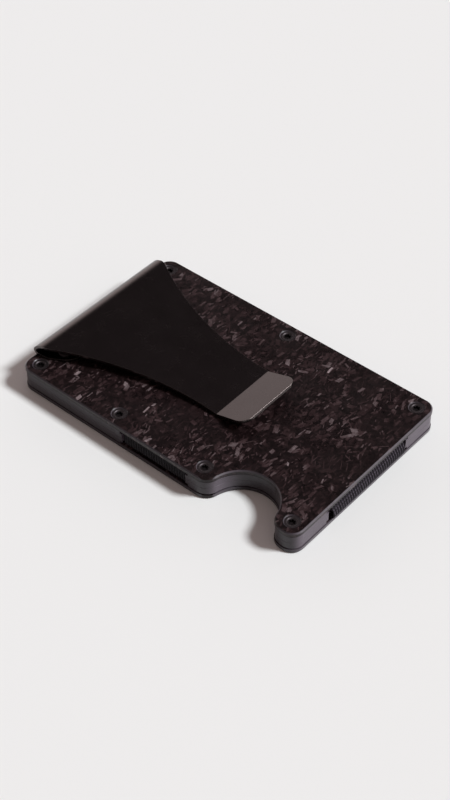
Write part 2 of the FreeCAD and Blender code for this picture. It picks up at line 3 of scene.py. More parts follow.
import bmesh
import bpy
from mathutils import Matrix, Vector


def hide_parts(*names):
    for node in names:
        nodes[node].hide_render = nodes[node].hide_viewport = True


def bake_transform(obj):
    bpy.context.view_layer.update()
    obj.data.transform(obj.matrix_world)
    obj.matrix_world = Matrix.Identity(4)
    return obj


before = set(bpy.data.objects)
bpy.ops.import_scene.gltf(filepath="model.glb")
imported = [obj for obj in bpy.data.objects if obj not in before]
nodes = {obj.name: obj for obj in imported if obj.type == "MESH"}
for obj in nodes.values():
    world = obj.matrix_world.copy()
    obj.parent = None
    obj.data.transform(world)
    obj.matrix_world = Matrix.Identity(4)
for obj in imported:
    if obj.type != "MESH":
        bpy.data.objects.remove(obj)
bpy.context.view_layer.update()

# sizes of the holder, in millimetres, where the patterns and the soft pieces need them
MM = 0.001
HALF_LENGTH, HALF_WIDTH, CORNER = 42.8, 27.0, 3.2
NOTCH, NOTCH_RADIUS = (26.5, -25.8, 0.0), 8.8
SEAM_Z, COVER_TOP = 3.3, 6.6
COVER_SCREWS = (
    (-39.2, -23.4), (-13.0, -23.4), (13.7, -23.4), (39.2, -23.4),
    (-39.2, 23.4), (0.1, 23.4), (39.2, 23.4),
)
CLIP_SCREWS = ((-37.0, -17.0), (-37.0, 17.0))


# ---------------------------------------------------------------- camera, floor and light


def make_camera():
    lens = bpy.data.cameras.new("camera")
    lens.sensor_width = 36
    lens.lens = 72.4
    lens.clip_start = 0.01
    lens.clip_end = 50
    camera = bpy.data.objects.new("camera", lens)
    camera.location = (0.181661, -0.210662, 0.272869)
    camera.rotation_euler = (0.798111, 0.004617, 0.708020)
    bpy.context.scene.collection.objects.link(camera)
    bpy.context.scene.camera = camera


def make_floor():
    bm = bmesh.new()
    bmesh.ops.create_grid(bm, x_segments=1, y_segments=1, size=3)
    floor = add_piece("floor", bm)
    material, _, surface = new_material("pale_floor")
    surface["Base Color"].default_value = (0.83, 0.83, 0.83, 1)
    surface["Roughness"].default_value = 0.9
    surface["Specular IOR Level"].default_value = 0.0
    floor.data.materials.append(material)


def make_lamp(name, towards, strength, spread, colour):
    """A soft distant lamp that shines from the direction given."""
    data = bpy.data.lights.new(name, "SUN")
    data.energy = strength
    data.angle = math.radians(spread)
    data.color = colour
    lamp = bpy.data.objects.new(name, data)
    lamp.rotation_euler = Vector(towards).to_track_quat("Z", "Y").to_euler()
    bpy.context.scene.collection.objects.link(lamp)


def make_studio():
    """A dim warm room with one pale wall behind on the left, and one soft lamp from the right."""
    world = bpy.data.worlds.new("studio")
    world.use_nodes = True
    bpy.context.scene.world = world
    paint = Painter(world.node_tree)
    background = world.node_tree.nodes["Background"]
    place = paint.node("ShaderNodeTexCoord").outputs["Generated"]
    x, y, height = paint.parts(place)
    behind = paint.fade(paint.add(paint.times(x, -0.80), paint.times(y, 0.60)), 0.0, 0.7)
    # the wall ends at about half height, and the room above it is nearly dark
    wall = paint.times(behind, paint.fade(height, 0.64, 0.22))
    room = paint.fade(paint.times(behind, paint.fade(height, 0.98, 0.72)), 0.0, 1.0, 0.27, 0.035)
    front = paint.fade(paint.times(y, -1.0), 0.1, 0.8, 1.0, 0.85)
    paint.put(
        background.inputs["Color"],
        paint.vector(
            "ADD",
            paint.vector(
                "MULTIPLY",
                paint.scaled((1.0, 0.80, 0.74), paint.times(room, front)),
                paint.joined(1.0, 1.0, paint.fade(behind, 0.0, 1.0, 1.0, 1.2)),
            ),
            paint.scaled((1.15, 1.02, 1.00), wall),
        ),
    )
    make_lamp("key", (0.6, 0.35, 0.7), 3.45, 13, (0.95, 0.99, 1.0))
    bpy.context.scene.view_settings.view_transform = "Standard"


# ---------------------------------------------------------------- small helpers


def add_piece(name, bm):
    mesh = bpy.data.meshes.new(name)
    bm.to_mesh(mesh)
    bm.free()
    piece = bpy.data.objects.new(name, mesh)
    bpy.context.scene.collection.objects.link(piece)
    return piece


def face_out(bm):
    """Turns all faces outwards, by the face whose middle is highest."""
    bmesh.ops.recalc_face_normals(bm, faces=bm.faces[:])
    highest = max(bm.faces, key=lambda f: f.calc_center_median().z)
    if highest.normal.z < 0:
        bmesh.ops.reverse_faces(bm, faces=bm.faces[:])


def run_on(bm, tip, way, steps):
    """Extrudes a line on from its tip, in steps that are given as lengths."""
    for step in steps:
        made = bmesh.ops.extrude_vert_indiv(bm, verts=[tip])
        tip = made["verts"][0]
        tip.co += way * step
    return tip


def finish_piece(piece, material):
    """Smooth faces with even shading, and the material."""
    piece.data.materials.append(material)
    piece.data.shade_smooth()
    piece.data.set_sharp_from_angle(angle=math.radians(50))
    even = piece.modifiers.new("even_shading", "WEIGHTED_NORMAL")
    even.keep_sharp = True


class Painter:
    """Places and links the nodes of one material, node group or world."""

    def __init__(self, tree):
        self.tree = tree

    def put(self, socket, value):
        if isinstance(value, bpy.types.NodeSocket):
            self.tree.links.new(value, socket)
        else:
            socket.default_value = value

    def node(self, kind, *values, **settings):
        made = self.tree.nodes.new(kind)
        for key, value in settings.items():
            setattr(made, key, value)
        for socket, value in zip(made.inputs, values):
            self.put(socket, value)
        return made

    def sum(self, operation, *values):
        return self.node("ShaderNodeMath", *values, operation=operation).outputs[0]

    def add(self, *values):
        total = values[0]
        for value in values[1:]:
            total = self.sum("ADD", total, value)
        return total

    def times(self, *values):
        total = values[0]
        for value in values[1:]:
            total = self.sum("MULTIPLY", total, value)
        return total

    def vector(self, operation, *values):
        made = self.node("ShaderNodeVectorMath", operation=operation)
        sockets = [s for s in made.inputs if s.enabled]
        for socket, value in zip(sockets, values):
            self.put(socket, value)
        one_number = operation in ("LENGTH", "DISTANCE", "DOT_PRODUCT")
        return made.outputs["Value" if one_number else "Vector"]

    def scaled(self, vector, scale):
        made = self.node("ShaderNodeVectorMath", operation="SCALE")
        self.put(made.inputs[0], vector)
        self.put(made.inputs["Scale"], scale)
        return made.outputs["Vector"]

    def parts(self, vector):
        return self.node("ShaderNodeSeparateXYZ", vector).outputs

    def joined(self, x, y, z):
        return self.node("ShaderNodeCombineXYZ", x, y, z).outputs[0]

    def fade(self, value, low, high, start=0.0, end=1.0):
        """Goes smoothly from start at low to end at high."""
        made = self.node("ShaderNodeMapRange", interpolation_type="SMOOTHSTEP")
        for socket, put in zip(made.inputs, (value, low, high, start, end)):
            self.put(socket, put)
        return made.outputs[0]

    def ramp(self, value, *stops):
        made = self.node("ShaderNodeValToRGB", value)
        elements = made.color_ramp.elements
        while len(elements) < len(stops):
            elements.new(0.5)
        for element, (place, colour) in zip(elements, stops):
            element.position = place
            element.color = (*colour, 1)
        return made.outputs["Color"]

    def noise(self, vector, scale, detail=2.0, roughness=0.5, flat=False):
        made = self.node("ShaderNodeTexNoise", noise_dimensions="2D" if flat else "3D")
        self.put(made.inputs["Vector"], vector)
        self.put(made.inputs["Scale"], scale)
        self.put(made.inputs["Detail"], detail)
        self.put(made.inputs["Roughness"], roughness)
        return made.outputs["Fac"]

    def cells(self, vector, scale, randomness=1.0, flat=False):
        made = self.node("ShaderNodeTexVoronoi", voronoi_dimensions="2D" if flat else "3D")
        self.put(made.inputs["Vector"], vector)
        self.put(made.inputs["Scale"], scale)
        self.put(made.inputs["Randomness"], randomness)
        return made

    def group(self, tree, **values):
        made = self.node("ShaderNodeGroup", node_tree=tree)
        for key, value in values.items():
            self.put(made.inputs[key.replace("_", " ")], value)
        return made.outputs

    def bump(self, height, strength, distance, under=None):
        made = self.node("ShaderNodeBump")
        self.put(made.inputs["Strength"], strength)
        self.put(made.inputs["Distance"], distance)
        self.put(made.inputs["Height"], height)
        if under is not None:
            self.put(made.inputs["Normal"], under)
        return made.outputs["Normal"]


def new_material(name):
    material = bpy.data.materials.new(name)
    material.use_nodes = True
    return material, Painter(material.node_tree), material.node_tree.nodes["Principled BSDF"].inputs


def new_group(name, inputs, outputs):
    """An empty node group; its inputs are (name, kind, value) and its outputs (name, kind)."""
    tree = bpy.data.node_groups.new(name, "ShaderNodeTree")
    for label, kind, value in inputs:
        socket = tree.interface.new_socket(label, in_out="INPUT", socket_type="NodeSocket" + kind)
        if value is not None:
            socket.default_value = value
    for label, kind in outputs:
        tree.interface.new_socket(label, in_out="OUTPUT", socket_type="NodeSocket" + kind)
    paint = Painter(tree)
    given = paint.node("NodeGroupInput").outputs
    result = paint.node("NodeGroupOutput").inputs
    return tree, paint, given, result


def painted_front_shade(paint):
    """Less than 1 on the sides that face the front: painted shade that makes those sides darker, as
    the light leaves them.
    """
    facing = paint.parts(paint.node("ShaderNodeTexCoord").outputs["Normal"])[1]
    return paint.fade(facing, -0.2, -0.9, 1.0, 0.25)


def in_millimetres(paint):
    """Where a point is on the holder, in millimetres."""
    place = paint.node("ShaderNodeTexCoord").outputs["Object"]
    return paint.scaled(place, 1000.0)


# ---------------------------------------------------------------- shared surface effects


def make_chip_layer():
    """One layer of cut carbon tape: scattered chips, each turned its own way, with fibres."""
    tree, paint, given, result = new_group(
        "chip_layer",
        [
            ("Vector", "Vector", None),
            ("Cell", "Float", 2.0),
            ("Seed", "Vector", None),
            ("Length", "Float", 0.8),
            ("Width", "Float", 0.4),
            ("Share", "Float", 0.7),
            ("Ragged", "Float", 0.15),
        ],
        [("Mask", "Float"), ("Shade", "Float"), ("Fibre", "Float"), ("Tilt", "Float")],
    )
    cell = given["Cell"]
    # the tape was laid mostly from front to back, so the chips lie closer from side to side
    squeeze_x, squeeze_y = 1.3, 0.72
    squeezed = paint.vector("MULTIPLY", given["Vector"], (squeeze_x, squeeze_y, 1.0))
    scattered = paint.vector(
        "ADD", paint.scaled(squeezed, paint.sum("DIVIDE", 1.0, cell)), given["Seed"]
    )
    chips = paint.cells(scattered, 1.0, 0.9, flat=True)
    centre = chips.outputs["Position"]
    turn, long_share, wide_share = paint.node(
        "ShaderNodeSeparateColor", chips.outputs["Color"]
    ).outputs
    luck = paint.node("ShaderNodeTexWhiteNoise", noise_dimensions="3D")
    paint.put(luck.inputs["Vector"], paint.vector("ADD", centre, (3.7, 1.9, 0.3)))
    present, bright, lean = paint.node("ShaderNodeSeparateColor", luck.outputs["Color"]).outputs
    away = paint.scaled(paint.vector("SUBTRACT", scattered, centre), cell)
    away = paint.vector("MULTIPLY", away, (1 / squeeze_x, 1 / squeeze_y, 1.0))
    swing = paint.sum("SUBTRACT", paint.times(turn, 2.0), 1.0)
    swing = paint.times(swing, paint.sum("ABSOLUTE", swing), 1.45)
    angle = paint.add(math.pi / 2, swing)
    turned = paint.node("ShaderNodeVectorRotate", rotation_type="Z_AXIS")
    paint.put(turned.inputs["Vector"], away)
    paint.put(turned.inputs["Angle"], angle)
    along, across, _ = paint.parts(turned.outputs[0])
    along = paint.add(along, paint.times(across, paint.sum("SUBTRACT", lean, 0.5), 1.4))
    half_length = paint.times(given["Length"], paint.add(0.45, paint.times(long_share, 0.9)))
    half_width = paint.times(given["Width"], paint.add(0.5, paint.times(wide_share, 1.0)))
    ragged = paint.times(
        paint.sum("SUBTRACT", paint.noise(given["Vector"], 2.6, 3.0, 0.7, flat=True), 0.5),
        given["Ragged"],
    )
    outside = paint.sum(
        "MAXIMUM",
        paint.sum("SUBTRACT", paint.sum("ABSOLUTE", along), half_length),
        paint.sum("SUBTRACT", paint.sum("ABSOLUTE", across), half_width),
    )
    inside = paint.fade(paint.add(outside, ragged), 0.04, -0.06)
    there = paint.sum("LESS_THAN", present, given["Share"])
    paint.put(result["Mask"], paint.times(inside, there))
    # painted sheen: tape that lies across the holder is painted brighter than tape that lies along
    # it, in place of the light its fibres catch
    across_holder = paint.sum("POWER", paint.sum("SINE", angle), 2.0)
    painted_fibre_sheen = paint.add(0.3, paint.times(across_holder, 0.7))
    paint.put(result["Shade"], paint.times(paint.sum("POWER", bright, 2.2), painted_fibre_sheen))
    strands = paint.vector(
        "ADD",
        paint.joined(paint.times(along, 0.9), paint.times(across, 9.0), 0.0),
        paint.scaled(centre, 17.0),
    )
    paint.put(result["Fibre"], paint.noise(strands, 1.0, 3.0, 0.65, flat=True))
    paint.put(
        result["Tilt"],
        paint.times(paint.add(across, paint.times(along, 0.5)), paint.sum("SUBTRACT", lean, 0.5)),
    )
    return tree


def make_plate_edge():
    """How far a point is inside the outline of the covers, in millimetres."""
    tree, paint, given, result = new_group(
        "plate_edge", [("Vector", "Vector", None)], [("Inside", "Float")]
    )
    x, y, _ = paint.parts(given["Vector"])
    over_x = paint.sum("SUBTRACT", paint.sum("ABSOLUTE", x), HALF_LENGTH - CORNER)
    over_y = paint.sum("SUBTRACT", paint.sum("ABSOLUTE", y), HALF_WIDTH - CORNER)
    corner = paint.vector(
        "LENGTH",
        paint.joined(
            paint.sum("MAXIMUM", over_x, 0.0), paint.sum("MAXIMUM", over_y, 0.0), 0.0
        ),
    )
    flat = paint.sum("MINIMUM", paint.sum("MAXIMUM", over_x, over_y), 0.0)
    inside = paint.sum("SUBTRACT", CORNER, paint.add(corner, flat))
    notch = paint.vector("DISTANCE", paint.joined(x, y, 0.0), NOTCH)
    from_notch = paint.sum("SUBTRACT", notch, NOTCH_RADIUS)
    paint.put(result["Inside"], paint.sum("MINIMUM", inside, from_notch))
    return tree


def make_handling():
    """Signs of use: fine scratches, dust and small rubbed places."""
    tree, paint, given, result = new_group(
        "handling",
        [("Vector", "Vector", None), ("Scratch Length", "Float", 6.0)],
        [("Scratches", "Float"), ("Dust", "Float"), ("Rubbed", "Float")],
    )
    vector = given["Vector"]
    lines = None
    for turn, offset in ((0.5, 0.0), (1.9, 31.0), (2.7, 67.0)):
        turned = paint.node("ShaderNodeVectorRotate", rotation_type="Z_AXIS")
        paint.put(turned.inputs["Vector"], vector)
        paint.put(turned.inputs["Angle"], turn)
        x, y, z = paint.parts(turned.outputs[0])
        stretched = paint.joined(
            paint.add(paint.sum("DIVIDE", x, given["Scratch Length"]), offset),
            paint.times(y, 1.6),
            paint.times(z, 1.6),
        )
        from_middle = paint.sum("SUBTRACT", paint.noise(stretched, 1.0, 3.0, 0.6), 0.5)
        line = paint.fade(paint.sum("ABSOLUTE", from_middle), 0.006, 0.0)
        lines = line if lines is None else paint.sum("MAXIMUM", lines, line)
    broken = paint.fade(paint.noise(vector, 0.35, 2.0, 0.5), 0.52, 0.66)
    paint.put(result["Scratches"], paint.times(lines, broken))
    specks = paint.cells(vector, 0.55)
    luck = paint.node("ShaderNodeSeparateColor", specks.outputs["Color"]).outputs
    size = paint.times(paint.sum("POWER", luck[0], 6.0), 0.07)
    paint.put(result["Dust"], paint.sum("LESS_THAN", specks.outputs["Distance"], size))
    paint.put(result["Rubbed"], paint.fade(paint.noise(vector, 0.11, 4.0, 0.6), 0.35, 0.7))
    return tree


def make_nearest_screw():
    """How far a point is from the nearest screw's axis, and from the nearest cover screw's."""
    tree, paint, given, result = new_group(
        "nearest_screw",
        [("Vector", "Vector", None)],
        [("Radius", "Float"), ("Cover Radius", "Float")],
    )
    x, y, _ = paint.parts(given["Vector"])
    here = paint.joined(x, y, 0.0)
    nearest = 100.0
    for label, places in (("Cover Radius", COVER_SCREWS), ("Radius", CLIP_SCREWS)):
        for place in places:
            away = paint.vector("DISTANCE", here, (*place, 0.0))
            nearest = paint.sum("MINIMUM", nearest, away)
        paint.put(result[label], nearest)
    return tree


# ---------------------------------------------------------------- materials


def make_forged_composite(chip_layer, plate_edge, nearest_screw, handling):
    """Chopped carbon tape pressed in black resin, ground flat and given a satin coat."""
    material, paint, surface = new_material("forged_composite")
    spot = in_millimetres(paint)
    x, y, z = paint.parts(spot)
    side = paint.sum("GREATER_THAN", z, SEAM_Z)
    vector = paint.joined(
        paint.add(x, paint.times(z, 0.7), paint.times(side, 57.0)),
        paint.add(y, paint.times(z, 0.4), paint.times(side, 31.0)),
        0.0,
    )
    crowded = paint.fade(paint.noise(vector, 0.11, 3.0, 0.6, flat=True), 0.38, 0.62, 0.35, 1.25)
    mottle = paint.noise(vector, 0.9, 4.0, 0.62, flat=True)
    level = paint.fade(mottle, 0.3, 0.75, 0.003, 0.013)
    height = paint.times(mottle, 0.3)
    layers = (
        # cell, seed, length, width, share, ragged, dark, bright
        (3.6, (0.0, 0.0, 0.0), 1.70, 0.85, 0.85, 0.60, 0.005, 0.050),
        (2.7, (7.3, 2.1, 0.0), 1.40, 0.55, 0.80, 0.45, 0.005, 0.075),
        (2.0, (3.9, 8.7, 0.0), 1.05, 0.32, 0.80, 0.30, 0.006, 0.095),
        (2.6, (1.2, 5.5, 0.0), 1.20, 0.42, 0.60, 0.30, 0.006, 0.130),
        (1.1, (6.6, 4.4, 0.0), 0.50, 0.12, 0.80, 0.10, 0.007, 0.110),
        (2.0, (9.1, 0.7, 0.0), 1.10, 0.09, 0.60, 0.05, 0.008, 0.150),
        (4.0, (5.2, 9.9, 0.0), 1.05, 0.42, 0.55, 0.12, 0.010, 0.260),
    )
    for cell, seed, length, width, share, ragged, dark, bright in layers:
        chip = paint.group(
            chip_layer, Vector=vector, Cell=cell, Seed=seed, Length=length,
            Width=width, Share=share, Ragged=ragged,
        )
        fibre = paint.fade(chip["Fibre"], 0.32, 0.68, 0.45, 1.25)
        shade = paint.add(dark, paint.times(chip["Shade"], fibre, bright - dark, crowded))
        keep = paint.sum("SUBTRACT", 1.0, chip["Mask"])
        level = paint.add(paint.times(level, keep), paint.times(shade, chip["Mask"]))
        raised = paint.add(paint.times(chip["Tilt"], 0.7), paint.times(chip["Fibre"], 0.25))
        height = paint.add(paint.times(height, keep), paint.times(raised, chip["Mask"]))
    tint = paint.ramp(
        paint.fade(level, 0.0, 0.12), (0.0, (1.0, 0.52, 0.56)), (1.0, (1.0, 0.77, 0.81))
    )
    wear = paint.group(handling, Vector=spot, Scratch_Length=9.0)
    inside = paint.group(plate_edge, Vector=spot)["Inside"]
    radius = paint.group(nearest_screw, Vector=spot)["Cover Radius"]
    sink = paint.times(paint.fade(radius, 2.06, 1.98), 0.75)
    rim = paint.fade(inside, 0.34, 0.22)
    # the side of the upper cover is left as cut, below a polished bevel
    bare = paint.times(paint.fade(z, 6.24, 6.14), side, 0.85)
    rim = paint.times(rim, paint.sum("SUBTRACT", 1.0, bare))
    cut = paint.sum("MAXIMUM", sink, rim)
    level = paint.times(level, paint.sum("SUBTRACT", 1.0, cut))
    level = paint.add(level, paint.times(wear["Dust"], 0.05))
    # painted shade: the cut edges are darker on the sides that face the front
    colour = paint.vector(
        "ADD",
        paint.scaled(tint, level),
        paint.scaled(
            (0.084, 0.069, 0.084),
            paint.times(cut, paint.add(0.7, paint.times(mottle, 0.6)), painted_front_shade(paint)),
        ),
    )
    paint.put(surface["Base Color"], colour)
    rough = paint.add(
        0.28,
        paint.times(mottle, 0.10),
        paint.times(wear["Rubbed"], -0.06),
        paint.times(wear["Scratches"], 0.08),
        paint.times(cut, 0.04),
    )
    paint.put(surface["Roughness"], rough)
    surface["Specular IOR Level"].default_value = 0.27
    paint.put(surface["Coat Weight"], paint.times(rim, 0.3))
    surface["Coat Roughness"].default_value = 0.35
    relief = paint.bump(height, 0.35, 0.00004)
    relief = paint.bump(paint.times(wear["Scratches"], -1.0), 0.25, 0.00001, relief)
    paint.put(surface["Normal"], relief)
    return material


def make_anodised_frame(handling):
    """Milled aluminium, bead blasted and anodised dark grey."""
    material, paint, surface = new_material("anodised_aluminium")
    spot = in_millimetres(paint)
    blast = paint.noise(spot, 7.0, 3.0, 0.65)
    pits = paint.cells(spot, 5.0).outputs["Distance"]
    wear = paint.group(handling, Vector=spot, Scratch_Length=7.0)
    z = paint.parts(spot)[2]
    from_seam = paint.sum("ABSOLUTE", paint.sum("SUBTRACT", z, SEAM_Z))
    # painted shade: the frame is darker in the groove under each cover, where the cover's overhang
    # shades it
    painted_groove_shade = paint.fade(from_seam, 1.82, 2.0)
    level = paint.add(
        paint.fade(blast, 0.25, 0.75, 0.90, 1.10),
        paint.times(wear["Rubbed"], 0.12),
        paint.times(wear["Scratches"], 0.25),
        paint.times(wear["Dust"], 0.4),
    )
    # painted shade: darker in the groove under each cover and on the sides that face the front
    level = paint.times(level, paint.fade(painted_groove_shade, 0.0, 1.0, 1.0, 0.22), painted_front_shade(paint))
    paint.put(surface["Base Color"], paint.scaled((0.100, 0.080, 0.101), level))
    surface["Metallic"].default_value = 0.1
    surface["Specular IOR Level"].default_value = 0.45
    rough = paint.add(
        0.34, paint.times(blast, 0.12), paint.times(wear["Rubbed"], -0.05)
    )
    paint.put(surface["Roughness"], rough)
    height = paint.add(blast, paint.times(pits, 0.4))
    relief = paint.bump(height, 0.30, 0.00002)
    relief = paint.bump(paint.times(wear["Scratches"], -1.0), 0.3, 0.00001, relief)
    paint.put(surface["Normal"], relief)
    return material


def make_turned_steel(nearest_screw, handling):
    """Blackened steel screws with fine turning marks round each head."""
    material, paint, surface = new_material("blackened_steel")
    spot = in_millimetres(paint)
    radius = paint.group(nearest_screw, Vector=spot)["Radius"]
    uneven = paint.noise(spot, 2.2, 3.0, 0.6)
    rings = paint.sum("SINE", paint.times(paint.add(radius, paint.times(uneven, 0.05)), 95.0))
    wear = paint.group(handling, Vector=spot, Scratch_Length=3.0)
    # painted highlights: the ring at the dish's edge and the outer rim of each head are lighter;
    # painted shade: the drive socket is darker
    lip = paint.times(paint.fade(radius, 1.06, 1.16), paint.fade(radius, 1.42, 1.32))
    rim = paint.fade(radius, 1.62, 1.75)
    painted_socket_shade = paint.fade(radius, 1.0, 0.85)
    level = paint.add(
        0.9,
        paint.times(rings, 0.06),
        paint.times(uneven, 0.35),
        paint.times(lip, 0.3),
        paint.times(rim, 0.5),
        paint.times(painted_socket_shade, -0.45),
        paint.times(wear["Dust"], 0.5),
    )
    paint.put(surface["Base Color"], paint.scaled((0.055, 0.047, 0.050), level))
    surface["Metallic"].default_value = 1.0
    rough = paint.add(0.45, paint.times(uneven, 0.16), paint.times(rim, -0.06))
    paint.put(surface["Roughness"], rough)
    relief = paint.bump(paint.add(paint.times(rings, 0.5), uneven), 0.35, 0.000008)
    paint.put(surface["Normal"], relief)
    return material


def make_woven_elastic():
    """Black ribbed elastic: fine threads wound across each rib, a little fluff."""
    material, paint, surface = new_material("woven_elastic")
    place = paint.node("ShaderNodeTexCoord").outputs["UV"]
    vector = paint.scaled(place, 1000.0)
    across, along, _ = paint.parts(vector)
    fluff = paint.noise(vector, 3.0, 4.0, 0.7)
    wander = paint.noise(vector, 0.8, 2.0, 0.5)
    turns = paint.add(
        paint.times(across, 2 * math.pi / RIB), paint.times(along, 1.5), paint.times(wander, 6.0)
    )
    rib = paint.add(0.5, paint.times(paint.sum("SINE", turns), 0.5))
    slant = paint.add(paint.times(along, 2 * math.pi / 0.46), paint.times(rib, 2.0))
    thread = paint.sum("SINE", paint.add(slant, paint.times(fluff, 3.0)))
    weave = paint.add(
        paint.times(rib, 0.55), paint.times(thread, 0.18), paint.times(fluff, 0.45), -0.05
    )
    colour = paint.ramp(
        weave,
        (0.20, (0.002, 0.0012, 0.0025)),
        (0.50, (0.009, 0.006, 0.010)),
        (0.85, (0.066, 0.053, 0.072)),
    )
    # painted shade: the elastic is darker on the sides that face the front
    paint.put(surface["Base Color"], paint.scaled(colour, painted_front_shade(paint)))
    paint.put(surface["Roughness"], paint.add(0.72, paint.times(fluff, 0.2)))
    surface["Specular IOR Level"].default_value = 0.25
    surface["Sheen Weight"].default_value = 0.04
    surface["Sheen Roughness"].default_value = 0.5
    surface["Sheen Tint"].default_value = (0.8, 0.75, 0.9, 1)
    relief = paint.bump(weave, 0.8, 0.00010)
    paint.put(surface["Normal"], relief)
    return material


def make_black_steel(handling):
    """Spring steel with a thin satin black coat."""
    material, paint, surface = new_material("black_spring_steel")
    spot = in_millimetres(paint)
    grain = paint.noise(spot, 5.0, 3.0, 0.6)
    cloud = paint.noise(spot, 0.16, 3.0, 0.55)
    wear = paint.group(handling, Vector=spot, Scratch_Length=10.0)
    level = paint.add(
        0.90,
        paint.times(grain, 0.06),
        paint.times(cloud, 0.10),
        paint.times(wear["Scratches"], 0.10),
        paint.times(wear["Dust"], 0.6),
    )
    # painted highlight: the base colour is made bright along the upper edge of the lip's end, on
    # the faces that turn up towards the lamp's glint
    normal = paint.node("ShaderNodeTexCoord").outputs["Normal"]
    facing = paint.vector("DOT_PRODUCT", normal, (0.55, 0.0, 0.835))
    x, y, _ = paint.parts(spot)
    painted_lip_highlight = paint.times(
        paint.fade(facing, 0.70, 0.92),
        paint.sum("GREATER_THAN", x, LIP_END - 1.0),
        paint.fade(paint.sum("ABSOLUTE", y), 8.6, 6.8),
    )
    level = paint.add(level, paint.times(painted_lip_highlight, 7.0))
    paint.put(surface["Base Color"], paint.scaled((0.096, 0.083, 0.082), level))
    surface["Metallic"].default_value = 1.0
    rough = paint.add(
        0.22,
        paint.times(grain, 0.03),
        paint.times(wear["Rubbed"], 0.02),
        paint.times(wear["Scratches"], 0.05),
        paint.times(painted_lip_highlight, 0.40),
    )
    paint.put(surface["Roughness"], rough)
    relief = paint.bump(grain, 0.10, 0.00001)
    relief = paint.bump(paint.times(wear["Scratches"], -1.0), 0.12, 0.00001, relief)
    paint.put(surface["Normal"], relief)
    return material


# ---------------------------------------------------------------- money clip

SHEET = 0.7
LEG_END, LEG_CORNER = -33.0, 3.0
# the fold is a tight curl that runs into a wide crown; these are their axes
CURL = Vector((-42.24, 0, 7.73))
CROWN = Vector((-39.36, 0, 5.79))
CURL_ANGLE = math.radians(124)
FOLD_HALF, SHOULDER = 21.5, 4.0
WAIST_HALF, WAIST_X, HOLLOW = 9.5, 3.5, 82.0
DROP = math.radians(3.7)
BEND_X, BEND_RADIUS = 5.2, 0.5
RISE = math.radians(17.5)
LIP_END, LIP_FLARE, LIP_CORNER = 14.1, 0.3, 3.0


def clip_half_width(x):
    """Half of the clip's width: wide at the fold, a hollow waist and a slight flare."""
    both = SHOULDER + HOLLOW
    run = math.sqrt(both**2 - (FOLD_HALF - SHOULDER - WAIST_HALF - HOLLOW) ** 2)
    shoulder_x = WAIST_X - run
    touch_x = shoulder_x + run * SHOULDER / both
    if x <= shoulder_x:
        return FOLD_HALF
    if x <= touch_x:
        return FOLD_HALF - SHOULDER + math.sqrt(SHOULDER**2 - (x - shoulder_x) ** 2)
    if x <= WAIST_X:
        return WAIST_HALF + HOLLOW - math.sqrt(HOLLOW**2 - (WAIST_X - x) ** 2)
    return WAIST_HALF + (x - WAIST_X) * LIP_FLARE / (LIP_END - WAIST_X)


def corner_cut(distance, radius):
    """How much a rounded corner takes off the half width, at a distance from the end."""
    if distance >= radius:
        return 0.0
    return radius - math.sqrt(max(radius**2 - (radius - distance) ** 2, 0.0))


def turn_on(bm, tip, centre, angle, steps):
    """Carries a line on round a bend whose axis runs from front to back."""
    made = bmesh.ops.spin(
        bm, geom=[tip], cent=centre, axis=(0, 1, 0), dvec=(0, 0, 0), angle=angle, steps=steps
    )
    return next(g for g in made["geom_last"] if isinstance(g, bmesh.types.BMVert))


def corner_steps(radius, parts):
    """Step lengths that go faster and faster away from a rounded corner's end."""
    places = [radius * (1 - math.cos(math.pi / 2 * k / parts)) for k in range(parts + 1)]
    return [b - a for a, b in zip(places, places[1:])]


def side_place(v):
    """Where a point is in the side view."""
    return round(v.co.x, 5), round(v.co.z, 5)


